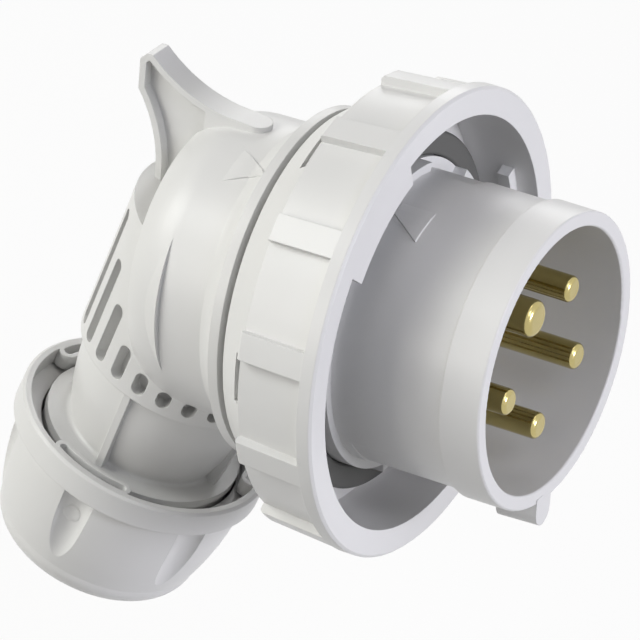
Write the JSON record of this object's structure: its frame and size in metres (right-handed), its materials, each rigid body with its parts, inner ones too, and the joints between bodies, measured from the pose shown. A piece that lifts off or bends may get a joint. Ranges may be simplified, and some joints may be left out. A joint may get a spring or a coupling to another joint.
{
  "type": "angled power plug",
  "caption": "Angled watertight industrial power plug: round nose with brass pins, ribbed bayonet ring, domed housing with a finger fin and a fluted cable gland nut.",
  "frame": {"origin": "centre of the nose's front face, on the plug axis", "axes": "+X along the plug axis out of the nose, +Z towards the finger fin, the nose's key at -Z"},
  "size_m": [0.1091, 0.0882, 0.115],
  "materials": {
    "housing_plastic": "fine satin moulding",
    "ring_plastic": "fine satin moulding",
    "carrier_plastic": "plain satin moulding",
    "brass": "turned and lightly polished",
    "screw_steel": "zinc plated",
    "seal_rubber": "matt rubber"
  },
  "bodies": {
    "plug": {"front_shroud": "housing_plastic", "contact_carrier": "carrier_plastic", "contact_retainer": "carrier_plastic", "earth_pin": "brass", "line_1_pin": "brass", "line_2_pin": "brass", "line_3_pin": "brass", "neutral_pin": "brass", "earth_terminal_screw": "screw_steel", "line_1_terminal_screw": "screw_steel", "line_2_terminal_screw": "screw_steel", "line_3_terminal_screw": "screw_steel", "neutral_terminal_screw": "screw_steel", "face_gasket": "seal_rubber", "housing_seal": "seal_rubber", "rear_housing": "housing_plastic", "cable_grommet": "seal_rubber", "clamp_cage": "carrier_plastic"},
    "ring": {"bayonet_ring": "ring_plastic"},
    "washer": {"slip_washer": "carrier_plastic"},
    "nut": {"gland_nut": "ring_plastic"}
  },
  "joints": [
    {"name": "ring_turn", "type": "hinge", "parent": "plug", "child": "ring", "pos_m": [-0.0335, 0, 0], "axis": [1, 0, 0], "range_deg": [0, 35]},
    {"name": "washer_slide", "type": "slide", "parent": "plug", "child": "washer", "axis": [-0.3504, 0, -0.9366], "range_m": [0, 0.004]},
    {"name": "nut_turn", "type": "hinge", "parent": "washer", "child": "nut", "pos_m": [-0.08205, 0, -0.03837], "axis": [-0.3504, 0, -0.9366], "range_deg": [0, 720]}
  ],
  "couplings": [
    {"joint": "washer_slide", "follows": "nut_turn", "m_per_rad": 0.0003183}
  ]
}
